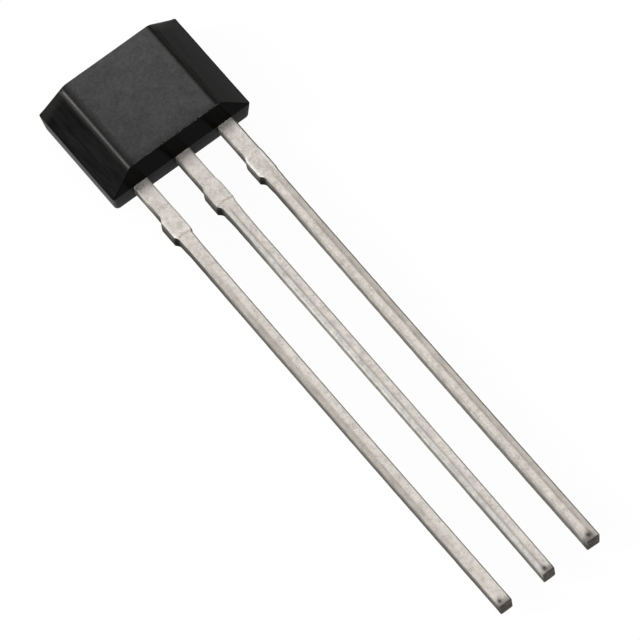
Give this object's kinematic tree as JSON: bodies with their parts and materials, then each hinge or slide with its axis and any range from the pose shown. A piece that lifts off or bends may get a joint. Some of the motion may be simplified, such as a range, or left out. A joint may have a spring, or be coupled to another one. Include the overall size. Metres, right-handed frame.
{
  "type": "magnetic switch",
  "caption": "Flat black moulded package with sloped sides that holds a Hall-effect magnetic switch chip, with long straight tinned leads in one row.",
  "frame": {"origin": "centre of the package's flat back face", "axes": "+Z from the back to the narrower front face that senses the magnet, +X across the width, leads along -Y; seen from the front with the leads down they are supply, ground and output from left to right"},
  "size_m": [0.0042, 0.0175, 0.0014],
  "materials": {
    "mould_compound": "matte",
    "tinned_copper": "satin",
    "silicon": "polished",
    "silver_adhesive": "satin",
    "gold_wire": "polished"
  },
  "bodies": {
    "root": {"moulded_body": "mould_compound", "lead_supply": "tinned_copper", "lead_ground": "tinned_copper", "lead_output": "tinned_copper", "hall_die": "silicon", "die_attach": "silver_adhesive", "bond_wire_supply": "gold_wire", "bond_wire_ground": "gold_wire", "bond_wire_output": "gold_wire"}
  },
  "joints": []
}
